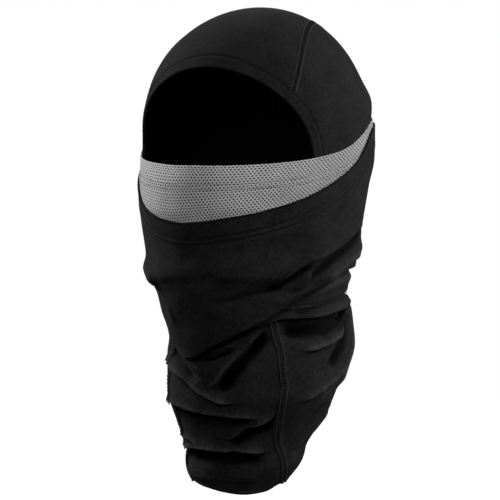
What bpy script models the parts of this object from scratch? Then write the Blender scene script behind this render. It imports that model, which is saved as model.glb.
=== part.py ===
"""Balaclava: a knit hood, a mesh and jersey mask that pulls down over it, and a neck drape.

The wearer looks along -Y and +Z is up. The origin is the inside of the crown, where the top of
the head touches. Sizes are in millimetres and angles in degrees until place() turns them into metres.
"depth" is how far a point lies below the top of the crown, and "turn" is the angle round the
head, 0 at the nose and 180 at the nape, positive towards the wearer's left.
"""

import math

import bmesh
import bpy
from mathutils import Vector

MM = 0.001

# Hood, on a large adult head
WALL = 1.8
CROWN = 98.0
HALF_WIDTH = 82.5
HALF_DEPTH = 102.0

# Depth, half width, half depth and shift back of the base layer, from the brow down to the bib's hem
BASE_PROFILE = (
    (CROWN, HALF_WIDTH, HALF_DEPTH, 0.0),
    (130.0, HALF_WIDTH, HALF_DEPTH, 0.0),
    (168.0, 78.5, 95.0, -6.0),
    (193.0, 74.0, 89.0, -8.0),
    (212.0, 70.5, 84.0, -8.0),
    (233.0, 65.5, 78.0, -5.0),
    (249.0, 63.0, 75.0, -3.0),
    (267.0, 62.5, 73.5, -1.5),
    (300.0, 60.0, 66.0, -6.0),
    (320.0, 55.0, 59.0, -10.0),
    (345.0, 48.0, 50.0, -14.0),
    (364.0, 41.5, 43.0, -14.0),
    (376.0, 37.0, 38.0, -15.0),
)

# Face opening, an oval on the hood
OPENING_DEPTH = 123.0
OPENING_HALF_HEIGHT = 76.0
OPENING_HALF_TURN = 61.5
OPENING_HEM = 9.0
TURN_PER_MM = 0.6

# Crown seams, which run from the brow over the head to the nape
SEAM_BACK = 18.5
SEAM_SPREAD = 28.0
SEAM_FIRST = 32.0
SEAM_LENGTH = 105.0

CHIN_TURN = 46.0
JOIN_DEPTH = 232.0
GAP = 0.4
HEM_GAP = 1.0

# Edges, as turn and depth
LINER_TOP = ((0, 122.5), (40, 121.5), (60, 117), (75, 112), (90, 104), (104, 93), (115, 87), (135, 84), (180, 84))
OUTER_TOP = ((0, 165.5), (20, 162), (40, 155), (60, 144), (80, 128), (96, 111), (110, 95), (125, 88), (180, 87))
OUTER_LOW = ((0, 264), (20, 255), (40, 242), (60, 227), (80, 211), (100, 201), (140, 197), (180, 196))
BAND_LOW = ((0, 258), (30, 246), (47, 241), (66, 239), (81, 235), (95, 232), (120, 229), (180, 226))
NAPE_HEM = ((66, 366), (80, 352), (92, 332), (104, 303), (116, 280), (130, 267), (150, 260), (180, 257))
NECK_SEAM = ((232, 37), (260, 42), (293, 48), (318, 48), (336, 52), (350, 60), (366, 66), (380, 70))
BIB_LOW = 374.0
BIB_RISE = 8.0
BIB_CORNER = 66.0

# Slits that keep neighbouring panels apart, half of each, in degrees
HOOD_SLIT = 0.3
NECK_SLIT = 0.4

# Cloth layers: wall thickness, and how far each layer's outside lies from the base layer
SEAM_LIFT = 0.3
SEAM_THICK = 0.5
LINER_WALL = 1.2
LINER_OUT = 2.8
OUTER_WALL = 1.6
OUTER_OUT = 5.6
LINER_HEM = 16.0
OUTER_HEM = 15.0
BIB_HEM = 12.0
NAPE_HEM_WIDTH = 9.0
LINER_TUCK = 18.0
BAND_TUCK = 14.0
BAND_HEM = 7.0

# The slanted hem narrows where it runs steepest, so its width is stretched no more than this
STEEPEST = 1.9
NECK_RADIUS = 60.0

LABEL_HALF_TURN = 5.0
LABEL_TOP = 205.0
LABEL_LOW = 228.0
LABEL_WALL = 0.4
COVERSTITCH = 5.0
SINGLE_STITCH = 1.4

RING_COLUMNS = 60


def smooth_rows(rows, x):
    """Each column of rows at x, on a monotone cubic through the rows."""
    keys = [row[0] for row in rows]
    if x <= keys[0]:
        return rows[0][1:]
    if x >= keys[-1]:
        return rows[-1][1:]
    i = max(k for k in range(len(keys) - 1) if keys[k] <= x)
    step = keys[i + 1] - keys[i]
    k = (x - keys[i]) / step
    values = []
    for column in range(1, len(rows[0])):

        def slope(n):
            return (rows[n + 1][column] - rows[n][column]) / (keys[n + 1] - keys[n])

        def tangent(n):
            if n == 0 or n == len(rows) - 1:
                return 0.0
            before, after = slope(n - 1), slope(n)
            return 0.0 if before * after <= 0 else 2 * before * after / (before + after)

        low, high = rows[i][column], rows[i + 1][column]
        values.append(
            low * (2 * k**3 - 3 * k**2 + 1)
            + high * (3 * k**2 - 2 * k**3)
            + step * (tangent(i) * (k**3 - 2 * k**2 + k) + tangent(i + 1) * (k**3 - k**2))
        )
    return values


def edge(rows, turn):
    """The depth of a symmetric edge at a turn."""
    turn = abs((turn + 180.0) % 360.0 - 180.0)
    return smooth_rows(rows, turn)[0]


def place(point):
    """A point in metres, from millimetres below the top of the crown. The inside of the crown is the origin."""
    return (point + Vector((0.0, 0.0, WALL))) * MM


def wall_point(turn, depth):
    """A point of the base layer below the dome, in millimetres."""
    angle = math.radians(turn)
    half_width, half_depth, back = smooth_rows(BASE_PROFILE, depth)
    return Vector((half_width * math.sin(angle), back - half_depth * math.cos(angle), -depth))


def wall_normal(turn, depth):
    """The way out of the base layer below the dome."""
    step = 0.5
    across = wall_point(turn + step, depth) - wall_point(turn - step, depth)
    up = wall_point(turn, depth - step) - wall_point(turn, depth + step)
    return across.cross(up).normalized()


def base_point(turn, depth, out=0.0):
    """A point of the base layer, moved out by some millimetres."""
    if depth >= CROWN:
        point = wall_point(turn, depth) + wall_normal(turn, depth) * out
        return place(point)
    angle = math.radians(turn)
    rise = (CROWN - depth) / CROWN
    level = math.sqrt(max(0.0, 1.0 - rise * rise))
    point = Vector((HALF_WIDTH * level * math.sin(angle), -HALF_DEPTH * level * math.cos(angle), -depth))
    normal = Vector((point.x / HALF_WIDTH**2, point.y / HALF_DEPTH**2, rise / CROWN)).normalized()
    return place(point + normal * out)


def ring_point(turn, depth, out):
    """A point of a ring that slides over the hood, so its wall stays upright above the brow."""
    point = wall_point(turn, depth) + wall_normal(turn, depth) * out
    return place(point)


def dome_point(over, side):
    """Turn and depth of a dome point: over is the angle from the brow over the head, side the lean to one side."""
    over, side = math.radians(over), math.radians(side)
    forward = math.cos(side) * math.cos(over)
    turn = math.degrees(math.atan2(math.sin(side), forward))
    return turn, CROWN - CROWN * math.cos(side) * math.sin(over)


def seam_side(over):
    """How far a crown seam leans to its side: wide at the brow, narrow at the nape."""
    k = min(1.0, max(0.0, (over - SEAM_FIRST) / SEAM_LENGTH))
    return SEAM_BACK + SEAM_SPREAD * (1.0 - k * k * (3.0 - 2.0 * k))


def opening_turn(depth, out):
    """Half the turn of the face opening at a depth, grown by out millimetres."""
    k = (depth - OPENING_DEPTH) / (OPENING_HALF_HEIGHT + out)
    return (OPENING_HALF_TURN + out * TURN_PER_MM) * math.sqrt(max(0.0, 1.0 - k * k))


def opening_point(angle, out):
    """Turn and depth of the face opening's edge, grown by out millimetres."""
    angle = math.radians(angle)
    turn = (OPENING_HALF_TURN + out * TURN_PER_MM) * math.sin(angle)
    return turn, OPENING_DEPTH - (OPENING_HALF_HEIGHT + out) * math.cos(angle)


def brow_over(share, out):
    """The over angle where a line at a share of the crown panel's width meets the opening's hem."""
    low, high = 0.0, 90.0
    for _ in range(40):
        middle = 0.5 * (low + high)
        turn, depth = dome_point(middle, share * seam_side(middle))
        inside = abs(turn) < opening_turn(depth, out) and depth > OPENING_DEPTH - OPENING_HALF_HEIGHT - out
        if inside:
            low = middle
        else:
            high = middle
    return high


def lerp(first, last, share):
    return first + (last - first) * share


def cloth_material(name, colour, roughness):
    material = bpy.data.materials.new(name)
    material.use_nodes = True
    shader = material.node_tree.nodes["Principled BSDF"]
    shader.inputs["Base Color"].default_value = (*colour, 1.0)
    shader.inputs["Roughness"].default_value = roughness
    shader.inputs["Metallic"].default_value = 0.0
    return material


def sheet(name, parent, material, surface, columns, rows, wall, closed=False):
    """A cloth piece: surface(u, v) gives its outside in metres, and wall its thickness in millimetres."""
    mesh = bpy.data.meshes.new(name)
    bm = bmesh.new()
    bmesh.ops.create_grid(bm, x_segments=columns, y_segments=rows, size=0.5)
    for vertex in bm.verts:
        vertex.co = surface(vertex.co.x + 0.5, 0.5 - vertex.co.y)
    if closed:
        bmesh.ops.remove_doubles(bm, verts=bm.verts, dist=1e-6)
    bm.to_mesh(mesh)
    bm.free()
    mesh.shade_smooth()
    mesh.materials.append(material)
    piece = bpy.data.objects.new(name, mesh)
    bpy.context.scene.collection.objects.link(piece)
    piece.parent = parent
    solidify = piece.modifiers.new("Cloth thickness", "SOLIDIFY")
    solidify.thickness = wall * MM
    solidify.offset = -1.0
    solidify.use_even_offset = True
    return piece


def stitching(name, parent, material, route, count, width, point, closed=False):
    """A flat band of stitches: route(share) gives turn and depth, and point(turn, depth, out) the surface."""
    lift = SEAM_LIFT + SEAM_THICK
    step = 0.002

    def surface(u, v):
        here = point(*route(u), lift)
        along = point(*route(u + step), lift) - point(*route(u - step), lift)
        out = here - point(*route(u), 0.0)
        across = along.cross(out).normalized()
        return here + across * (width * (v - 0.5) * MM)

    return sheet(name, parent, material, surface, count, 1, SEAM_THICK, closed)


def body(name):
    """An empty at the crown that carries the pieces of one moving body."""
    empty = bpy.data.objects.new(name, None)
    bpy.context.scene.collection.objects.link(empty)
    return empty


def crown_panel(parent, material):
    dome_share = 0.66

    def surface(u, v):
        share = 1.0 - 2.0 * u
        start = brow_over(share, OPENING_HEM + HEM_GAP)
        if v < dome_share:
            over = lerp(start, 180.0, v / dome_share)
            turn, depth = dome_point(over, share * (seam_side(over) - HOOD_SLIT))
        else:
            turn = 180.0 - share * (SEAM_BACK - HOOD_SLIT)
            depth = lerp(CROWN, JOIN_DEPTH, (v - dome_share) / (1.0 - dome_share))
        return base_point(turn, depth)

    sheet("crown_panel", parent, material, surface, 8, 26, WALL)


def side_panel(name, parent, material, hand):
    first = brow_over(1.0, OPENING_HEM + HEM_GAP)
    first_turn = dome_point(first, seam_side(first) + HOOD_SLIT)[0]
    last_turn = 180.0 - SEAM_BACK - HOOD_SLIT

    def front(depth):
        turn = opening_turn(depth, OPENING_HEM + HEM_GAP)
        limit = first_turn if depth < OPENING_DEPTH else CHIN_TURN + HOOD_SLIT
        return max(turn, limit)

    def surface(u, v):
        over = lerp(first, 180.0, u)
        top_turn, top = dome_point(over, seam_side(over) + HOOD_SLIT)
        depth = lerp(top, JOIN_DEPTH, v)
        share = (last_turn - top_turn) / (last_turn - first_turn)
        turn = last_turn - (last_turn - front(depth)) * share
        return base_point(hand * turn, depth)

    def mirrored(u, v):
        return surface(u if hand > 0 else 1.0 - u, v)

    sheet(name, parent, material, mirrored, 18, 15, WALL)


def chin_panel(parent, material):
    def surface(u, v):
        turn = lerp(-CHIN_TURN, CHIN_TURN, u)
        reach = OPENING_HEM + HEM_GAP
        k = turn / (OPENING_HALF_TURN + reach * TURN_PER_MM)
        top = OPENING_DEPTH + (OPENING_HALF_HEIGHT + reach) * math.sqrt(1.0 - k * k)
        return base_point(turn, lerp(top, JOIN_DEPTH, v))

    sheet("chin_panel", parent, material, surface, 12, 3, WALL)


def opening_hem(parent, material):
    def surface(u, v):
        turn, depth = opening_point(360.0 * u, OPENING_HEM * (1.0 - v))
        return base_point(turn, depth)

    sheet("opening_hem", parent, material, surface, RING_COLUMNS, 2, WALL, closed=True)


def opening_stitching(parent, material):
    def route(share):
        return opening_point(360.0 * share, OPENING_HEM + HEM_GAP)

    stitching("opening_stitching", parent, material, route, 96, SINGLE_STITCH, base_point, closed=True)


def crown_seam(name, parent, material, hand):
    first = brow_over(1.0, OPENING_HEM)
    dome_share = 0.62
    start = 0.02

    def route(share):
        share = start + (1.0 - start) * share
        if share < dome_share:
            over = lerp(first, 180.0, share / dome_share)
            turn, depth = dome_point(over, seam_side(over))
        else:
            turn = 180.0 - SEAM_BACK
            depth = lerp(CROWN, JOIN_DEPTH - COVERSTITCH, (share - dome_share) / (1.0 - dome_share))
        return hand * turn, depth

    stitching(name, parent, material, route, 56, COVERSTITCH, base_point)


def chin_seam(name, parent, material, hand):
    top = OPENING_DEPTH + (OPENING_HALF_HEIGHT + OPENING_HEM) * math.sqrt(1.0 - (CHIN_TURN / OPENING_HALF_TURN) ** 2)

    def route(share):
        return hand * CHIN_TURN, lerp(top + 2.0 * COVERSTITCH, JOIN_DEPTH - COVERSTITCH, share)

    stitching(name, parent, material, route, 8, COVERSTITCH, base_point)


def neck_seam_turn(depth):
    return smooth_rows(NECK_SEAM, depth)[0]


def bib_low(turn):
    return BIB_LOW - BIB_RISE * (turn / BIB_CORNER) ** 2


def nape_hem(turn):
    """Depth of the slanted hem, which runs from the bib's corner up to the nape."""
    return smooth_rows(NAPE_HEM, 180.0 - abs(180.0 - turn))[0]


def nape_hem_top(turn):
    """Depth of the slanted hem's stitch line, one hem width above the edge measured square to it."""
    reach = 2.0
    across = 2.0 * NECK_RADIUS * math.radians(reach)
    slope = (nape_hem(turn + reach) - nape_hem(turn - reach)) / across
    return nape_hem(turn) - NAPE_HEM_WIDTH * min(STEEPEST, math.hypot(1.0, slope))


def neck_front(parent, material):
    def surface(u, v):
        share = 2.0 * u - 1.0
        low = bib_low(share * BIB_CORNER) - BIB_HEM - GAP
        depth = lerp(JOIN_DEPTH + GAP, low, v)
        return base_point(share * (neck_seam_turn(depth) - NECK_SLIT), depth)

    sheet("neck_front", parent, material, surface, 14, 14, WALL)


def bib_hem(parent, material):
    def surface(u, v):
        share = 2.0 * u - 1.0
        low = bib_low(share * BIB_CORNER)
        depth = lerp(low - BIB_HEM, low, v)
        return base_point(share * (neck_seam_turn(depth) - NECK_SLIT), depth)

    sheet("bib_hem", parent, material, surface, 14, 2, WALL)


def back_turn(low_turn, depth):
    """The turn of a back panel's column at a depth: the column ends at low_turn on the slanted hem."""
    share = (180.0 - low_turn) / (180.0 - BIB_CORNER)
    return 180.0 - share * (180.0 - neck_seam_turn(depth) - NECK_SLIT)


def neck_back(parent, material):
    def surface(u, v):
        low_turn = lerp(BIB_CORNER, 360.0 - BIB_CORNER, u)
        depth = lerp(JOIN_DEPTH + GAP, nape_hem_top(low_turn) - 3.0 * GAP, v)
        return base_point(back_turn(low_turn, depth), depth)

    sheet("neck_back", parent, material, surface, 28, 9, WALL)


def nape_hem_band(parent, material):
    def surface(u, v):
        low_turn = lerp(BIB_CORNER, 360.0 - BIB_CORNER, u)
        depth = lerp(nape_hem_top(low_turn), nape_hem(low_turn), v)
        return base_point(back_turn(low_turn, depth), depth)

    sheet("nape_hem", parent, material, surface, 28, 2, WALL)


def neck_seam(name, parent, material, hand):
    def route(share):
        depth = lerp(JOIN_DEPTH + 2.0 * COVERSTITCH, BIB_LOW - BIB_RISE - 3.0, share)
        return hand * neck_seam_turn(depth), depth

    stitching(name, parent, material, route, 26, COVERSTITCH, base_point)


def joining_stitching(parent, material):
    def route(share):
        return 360.0 * share, JOIN_DEPTH + 0.5 * GAP

    stitching("joining_stitching", parent, material, route, RING_COLUMNS, COVERSTITCH, base_point, closed=True)


def bib_hem_stitching(parent, material):
    reach = BIB_CORNER - 8.0

    def route(share):
        turn = lerp(-reach, reach, share)
        return turn, bib_low(turn) - BIB_HEM - 0.5 * GAP

    stitching("bib_hem_stitching", parent, material, route, 24, SINGLE_STITCH, base_point)


def nape_hem_stitching(parent, material):
    inset = 14.0

    def route(share):
        low_turn = lerp(BIB_CORNER + inset, 360.0 - BIB_CORNER - inset, share)
        depth = nape_hem_top(low_turn) - 1.5 * GAP
        return back_turn(low_turn, depth), depth

    stitching("nape_hem_stitching", parent, material, route, 48, SINGLE_STITCH, base_point)


def care_label(parent, material):
    """A blank label, sewn flat inside the nape."""

    def surface(u, v):
        turn = 180.0 + lerp(-LABEL_HALF_TURN, LABEL_HALF_TURN, u)
        return base_point(turn, lerp(LABEL_TOP, LABEL_LOW, v), -WALL - GAP)

    sheet("care_label", parent, material, surface, 4, 4, LABEL_WALL)


def ring(name, parent, material, top, low, out, wall, rows):
    """A closed ring of cloth between two edges."""

    def surface(u, v):
        turn = 360.0 * u
        return ring_point(turn, lerp(top(turn), low(turn), v), out)

    sheet(name, parent, material, surface, RING_COLUMNS, rows, wall, closed=True)


def ring_stitching(name, parent, material, edge_depth, out):
    def route(share):
        turn = 360.0 * share
        return turn, edge_depth(turn)

    def point(turn, depth, lift):
        return ring_point(turn, depth, out + lift)

    stitching(name, parent, material, route, RING_COLUMNS, COVERSTITCH * 0.8, point, closed=True)


def liner(parent, mesh_cloth, thread):
    def top(turn):
        return edge(LINER_TOP, turn)

    def hem_line(turn):
        return top(turn) + LINER_HEM

    def low(turn):
        return edge(OUTER_LOW, turn) - LINER_TUCK

    ring("liner_hem", parent, mesh_cloth, top, hem_line, LINER_OUT, LINER_WALL, 2)
    ring("mesh_liner", parent, mesh_cloth, lambda turn: hem_line(turn) + GAP, low, LINER_OUT, LINER_WALL, 7)
    ring_stitching("liner_stitching", parent, thread, lambda turn: hem_line(turn) + 0.5 * GAP, LINER_OUT)


def outer(parent, cloth, thread):
    def top(turn):
        return edge(OUTER_TOP, turn)

    def hem_line(turn):
        return top(turn) + OUTER_HEM

    def low(turn):
        return edge(OUTER_LOW, turn)

    ring("outer_hem", parent, cloth, top, hem_line, OUTER_OUT, OUTER_WALL, 2)
    ring("outer_mask", parent, cloth, lambda turn: hem_line(turn) + GAP, low, OUTER_OUT, OUTER_WALL, 8)
    ring_stitching("outer_stitching", parent, thread, lambda turn: hem_line(turn) + 0.5 * GAP, OUTER_OUT)


def lower_band(parent, cloth, thread):
    def top(turn):
        return edge(OUTER_LOW, turn) - BAND_TUCK

    def low(turn):
        return edge(BAND_LOW, turn)

    ring("lower_band", parent, cloth, top, low, LINER_OUT, LINER_WALL, 5)
    ring_stitching("lower_band_stitching", parent, thread, lambda turn: low(turn) - BAND_HEM, LINER_OUT)


def build():
    for old in list(bpy.data.objects):
        bpy.data.objects.remove(old)

    jersey = cloth_material("black_jersey", (0.012, 0.012, 0.013), 0.9)
    fleece = cloth_material("black_fleece", (0.014, 0.014, 0.015), 0.95)
    mesh_cloth = cloth_material("grey_mesh", (0.3, 0.3, 0.31), 0.85)
    thread = cloth_material("black_thread", (0.02, 0.02, 0.022), 0.7)
    grey_thread = cloth_material("grey_thread", (0.25, 0.25, 0.26), 0.7)
    label = cloth_material("label_satin", (0.6, 0.6, 0.6), 0.5)

    hood = body("hood")
    crown_panel(hood, jersey)
    chin_panel(hood, jersey)
    opening_hem(hood, jersey)
    opening_stitching(hood, thread)
    joining_stitching(hood, thread)
    for name, hand in (("left", 1), ("right", -1)):
        side_panel(f"side_panel_{name}", hood, jersey, hand)
        crown_seam(f"crown_seam_{name}", hood, thread, hand)
        chin_seam(f"chin_seam_{name}", hood, thread, hand)
        neck_seam(f"neck_seam_{name}", hood, thread, hand)
    neck_front(hood, fleece)
    neck_back(hood, fleece)
    bib_hem(hood, fleece)
    bib_hem_stitching(hood, thread)
    nape_hem_band(hood, fleece)
    nape_hem_stitching(hood, thread)
    care_label(hood, label)

    mask = body("mask")
    liner(mask, mesh_cloth, grey_thread)
    outer(mask, fleece, thread)
    lower_band(mask, fleece, thread)


build()
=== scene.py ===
import math

import bpy
import numpy as np
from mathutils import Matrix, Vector


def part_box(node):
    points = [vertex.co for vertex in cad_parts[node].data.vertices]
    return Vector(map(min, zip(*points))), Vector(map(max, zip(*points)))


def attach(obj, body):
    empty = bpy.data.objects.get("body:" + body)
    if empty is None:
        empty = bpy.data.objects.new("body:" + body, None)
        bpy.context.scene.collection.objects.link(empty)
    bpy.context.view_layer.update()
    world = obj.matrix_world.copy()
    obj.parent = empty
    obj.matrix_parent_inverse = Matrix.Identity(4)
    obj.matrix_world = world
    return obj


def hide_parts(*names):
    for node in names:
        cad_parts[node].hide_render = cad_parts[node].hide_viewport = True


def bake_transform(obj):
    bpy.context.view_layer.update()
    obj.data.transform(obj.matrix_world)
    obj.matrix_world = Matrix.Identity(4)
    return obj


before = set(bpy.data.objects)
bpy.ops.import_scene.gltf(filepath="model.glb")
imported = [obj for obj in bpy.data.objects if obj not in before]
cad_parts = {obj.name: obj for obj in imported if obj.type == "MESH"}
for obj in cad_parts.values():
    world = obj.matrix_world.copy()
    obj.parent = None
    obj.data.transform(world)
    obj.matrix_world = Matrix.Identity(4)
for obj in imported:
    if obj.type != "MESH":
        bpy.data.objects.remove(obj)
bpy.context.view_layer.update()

# ---------------------------------------------------------------- sizes
# Millimetres and degrees, as in the CAD model. "depth" is how far a point lies below the top of
# the crown, "turn" the angle round the head, 0 at the nose, positive towards the wearer's left.
MM = 0.001
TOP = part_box("crown_panel")[1][2] / MM
JOIN_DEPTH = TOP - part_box("neck_back")[1][2] / MM
BIB_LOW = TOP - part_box("bib_hem")[0][2] / MM

# Hood, which stands a little outside the CAD's
SIDE_EASE = 1.2
BACK_EASE = 1.8
HOOD_HALF_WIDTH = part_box("side_panel_left")[1][0] / MM + SIDE_EASE
HOOD_HALF_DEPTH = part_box("crown_panel")[1][1] / MM + BACK_EASE
CROWN = 98.0
CROWN_BACK = 7.0
DOME_ROUND = 2.12

# How far one layer reaches under the next, and how far the drape is drawn in under the band
HOOD_UNDER_DRAPE = 7.0
DRAPE_UNDER_BAND = 8.0
BAND_UNDER_MASK = 16.0
LINER_UNDER_MASK = 20.0
DRAPE_TUCK = 1.0
HOOD_LOW = JOIN_DEPTH + HOOD_UNDER_DRAPE

# Cloth layers, from the hood outwards
HOOD_CLOTH = 1.0
HEM_CLOTH = 0.7
LINER_OUT = 1.5
LINER_CLOTH = 0.5
LINER_SLACK = 2.0
OUTER_OUT = 3.3
OUTER_CLOTH = 0.8
LABEL_THICK = 0.25
HEM_ROUND = 1.0

# Depth, half width, half depth and shift back of the hood
HOOD_PROFILE = (
    (CROWN, HOOD_HALF_WIDTH, HOOD_HALF_DEPTH, 0.0),
    (115, HOOD_HALF_WIDTH, HOOD_HALF_DEPTH, -1.0),
    (138, 81.6, 101.0, -6.5),
    (158, 77.5, 96.5, -8.0),
    (168, 71.0, 89.0, -6.5),
    (180, 63.0, 80.0, -4.0),
    (193, 59.0, 74.0, -1.0),
    (212, 58.0, 70.0, 2.0),
    (236, 60.0, 71.0, 3.5),
)

# The same for the mask, without its thickness
MASK_PROFILE = (
    (CROWN, HOOD_HALF_WIDTH, HOOD_HALF_DEPTH, 0.0),
    (115, HOOD_HALF_WIDTH, HOOD_HALF_DEPTH, -1.0),
    (138, 81.6, 101.0, -6.5),
    (168, 77.8, 96.0, -8.5),
    (182, 76.0, 94.0, -8.0),
    (193, 74.0, 92.5, -9.5),
    (206, 73.5, 91.5, -12.0),
    (212, 68.5, 90.0, -11.0),
    (219, 63.8, 90.0, -9.0),
    (233, 61.0, 89.0, -6.0),
    (249, 56.5, 87.0, -3.5),
    (268, 55.0, 83.0, -2.0),
)

# The same for the lower band
BAND_PROFILE = (
    (190, 72.5, 88.0, -7.0),
    (205, 69.5, 84.0, -5.0),
    (222, 68.5, 80.5, -1.0),
    (240, 69.0, 80.0, 2.5),
    (262, 67.0, 78.0, 2.0),
)

# The same for the neck drape
NECK_PROFILE = (
    (205, 70.0, 84.0, -4.0),
    (222, 65.5, 76.0, 2.0),
    (238, 67.0, 77.0, 4.0),
    (257, 68.5, 79.0, 4.5),
    (276, 66.5, 77.0, -1.5),
    (290, 64.5, 72.0, -6.4),
    (302, 62.5, 69.0, -9.0),
    (312, 58.8, 64.5, -9.8),
    (324, 54.5, 59.0, -8.8),
    (337, 48.5, 52.0, -12.5),
    (353, 46.5, 50.0, -13.5),
    (364, 43.0, 46.5, -13.0),
    (376, 38.5, 42.0, -14.0),
)

# Face opening, an oval on the hood. The panels end a hair's breadth outside its hem
OPENING_DEPTH = 123.0
OPENING_HALF_HEIGHT = 76.0
OPENING_HALF_TURN = 61.5
OPENING_HEM = 9.0
PANEL_EDGE = OPENING_HEM + 0.15
TURN_PER_MM = 0.6

# Crown seams, and the chin seams below the opening
SEAM_BACK = 18.5
SEAM_SPREAD = 28.0
SEAM_FIRST = 32.0
SEAM_LENGTH = 105.0
CHIN_TURN = 46.0
CHIN_SEAM_TOP = 182.0

# Millimetres of cloth to a degree, and the length of the crown panel's straight back
DOME_ACROSS = 1.45
DOME_ALONG = 1.75
BROW_ALONG = 1.7
HOOD_CIRCLE = 1.6
HEM_CIRCLE = 1.35
LABEL_CIRCLE = 1.4
MASK_CIRCLE = 1.5
NECK_CIRCLE = 1.15
BACK_LENGTH = 134.0

# Edges, as turn and depth
LINER_TOP = (
    (-180, 84), (-135, 84), (-110, 88), (-90, 98), (-72, 108), (-51, 116), (-28, 120.5),
    (-12, 122.5), (13, 123), (31, 122), (52, 119), (70, 114), (85, 107), (98, 97.5),
    (112, 88), (135, 84), (180, 84),
)
OUTER_TOP = (
    (-180, 87), (-135, 89), (-112, 96), (-92, 108), (-74, 123), (-58, 138), (-48, 149), (-36, 157),
    (-23, 162.5), (-8, 165.5), (3, 165), (16, 162.5), (30, 159), (41, 155), (54, 149), (68, 140),
    (81, 129), (91, 118), (98, 108), (104, 100), (112, 93), (130, 88), (180, 87),
)
OUTER_LOW = (
    (-180, 196), (-140, 197), (-110, 203), (-88, 220), (-72, 238), (-58, 250), (-38, 259),
    (-18, 268.5), (-10, 266), (0, 261), (10, 256), (31, 245), (47, 234.5), (63, 221.5),
    (77, 211.5), (92, 202.5), (106, 199), (140, 197), (180, 196),
)
BAND_LOW = ((0, 258), (30, 246), (47, 240), (66, 239), (81, 236), (96, 233), (120, 230), (180, 227))
BIB_EDGE = ((-66, 11.5), (-27, 6), (-3, 2), (22, 0), (43, 2), (66, 8.5))
NAPE_HEM = (
    (64, 364.5), (78, 356), (92, 344), (103, 324), (111, 300), (120, 280), (132, 267), (150, 260),
    (180, 257),
)
CORNER = NAPE_HEM[0][0]

# The neck seam on each side, as depth and turn
NECK_SEAM = (
    (200, 36), (241, 38), (254, 40), (267, 44), (280, 47), (293, 50), (313, 50), (326, 49.5),
    (336, 54), (346, 60), (362, 64), (380, 66),
)

# Hems: their widths, and the height over which they flatten the drape's folds
LINER_HEM = 16.0
OUTER_HEM = 15.5
BAND_HEM = 9.0
BIB_HEM = 12.0
NAPE_HEM_WIDTH = 9.0
HEM_FLAT = 14.0

# Where hems start on the panel's face, as a distance from the edge
RING_HEM_START = 6.0
LOW_HEM_START = 2.0

# Height of the band's stitches over its edge, and the least depth of the band
BAND_STITCHES = 8.0
BAND_LEAST = 10.0

# Degrees left without stitches at each end of the bib's and the nape's hem, and a limit for slanted stitches
BIB_END = 2.0
NAPE_END = 8.0
NAPE_STEEPEST = 1.9

# The outer mask's lower edge: radius of its bend, and length turned up inside
BLOUSE_ROUND = 2.6
BLOUSE_INSIDE = 12.0

# Stitches
TWIN_ROWS = 4.2
FLAT_ROWS = 4.6
TWIN = (-TWIN_ROWS / 2, TWIN_ROWS / 2)
STITCH_PITCH = 2.8
THREAD_RADIUS = 0.28
COVER_PITCH = 2.2
COVER_RADIUS = 0.2
SEAM_RADIUS = 0.36
HEM_THREAD = 0.22
HEM_SUNK = 0.32

# Folds: how far they hang, how sharp a tuck's crest is, and how they fade at their ends
SAG = 0.8
CREST = 1.4
FADE = 13.0
FADE_SHARE = 0.3
BAND_TUCK = 2.6
BAND_ROOM = 16.0

# The mesh: pitch of its holes, and its painted shade over the ears, as a share of its tone at the mouth
MESH_ACROSS = 3.0
MESH_ALONG = 3.55
PAINTED_SIDE_SHADE = 0.55

# Camera and floor
CAMERA_AZIMUTH = 26.0
CAMERA_DISTANCE = 9.0
FRAME_WIDTH = 0.385
SENSOR = 36.0
LOOK_DEPTH = 187.0
LOOK_SIDE = 5.4
FLOOR_DROP = 0.46
FLOOR_HALF = 12.0

# Light from the surround, from straight below at 0 to straight above at 1
WORLD_LIGHT = ((0.0, 0.03), (0.45, 0.05), (0.6, 0.2), (0.72, 0.24), (0.86, 0.08), (1.0, 0.02))

# Lamps: place, size and power. All face LAMP_TARGET
LAMP_TARGET = (0.0, 0.0, -0.18)
LAMPS = (
    ("front", (0.35, -1.6, 0.15), (0.6, 0.6), 12.0),
    ("right", (1.34, 0.12, 0.6), (0.4, 0.8), 27.0),
    ("right_rear", (0.76, 1.12, 0.35), (0.4, 0.8), 20.0),
    ("left", (-1.17, 0.05, 0.58), (0.4, 0.6), 35.0),
)


# ---------------------------------------------------------------- curves and surfaces
def curve(rows, x):
    """The columns of rows at x, on a monotone cubic through the rows."""
    table = np.array(rows, float)
    keys, values = table[:, 0], table[:, 1:]
    x = np.clip(np.asarray(x, float), keys[0], keys[-1])
    step = np.diff(keys)
    slope = np.diff(values, axis=0) / step[:, None]
    before, after = slope[:-1], slope[1:]
    total = before + after
    tangent = np.zeros_like(values)
    same = before * after > 0
    tangent[1:-1] = np.where(same, 2 * before * after / np.where(same, total, 1.0), 0.0)
    i = np.clip(np.searchsorted(keys, x, side="right") - 1, 0, len(keys) - 2)
    k = ((x - keys[i]) / step[i])[..., None]
    h = step[i][..., None]
    result = (
        values[i] * (2 * k**3 - 3 * k**2 + 1)
        + values[i + 1] * (3 * k**2 - 2 * k**3)
        + h * (tangent[i] * (k**3 - 2 * k**2 + k) + tangent[i + 1] * (k**3 - k**2))
    )
    return [result[..., c] for c in range(values.shape[1])]


def wrap(turn):
    return (np.asarray(turn, float) + 180.0) % 360.0 - 180.0


def edge(rows, turn):
    """The depth of an edge at a turn."""
    return curve(rows, wrap(turn))[0]


def mirrored_edge(rows, turn):
    """The depth of an edge that is the same on the left and right."""
    return curve(rows, np.abs(wrap(turn)))[0]


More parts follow.
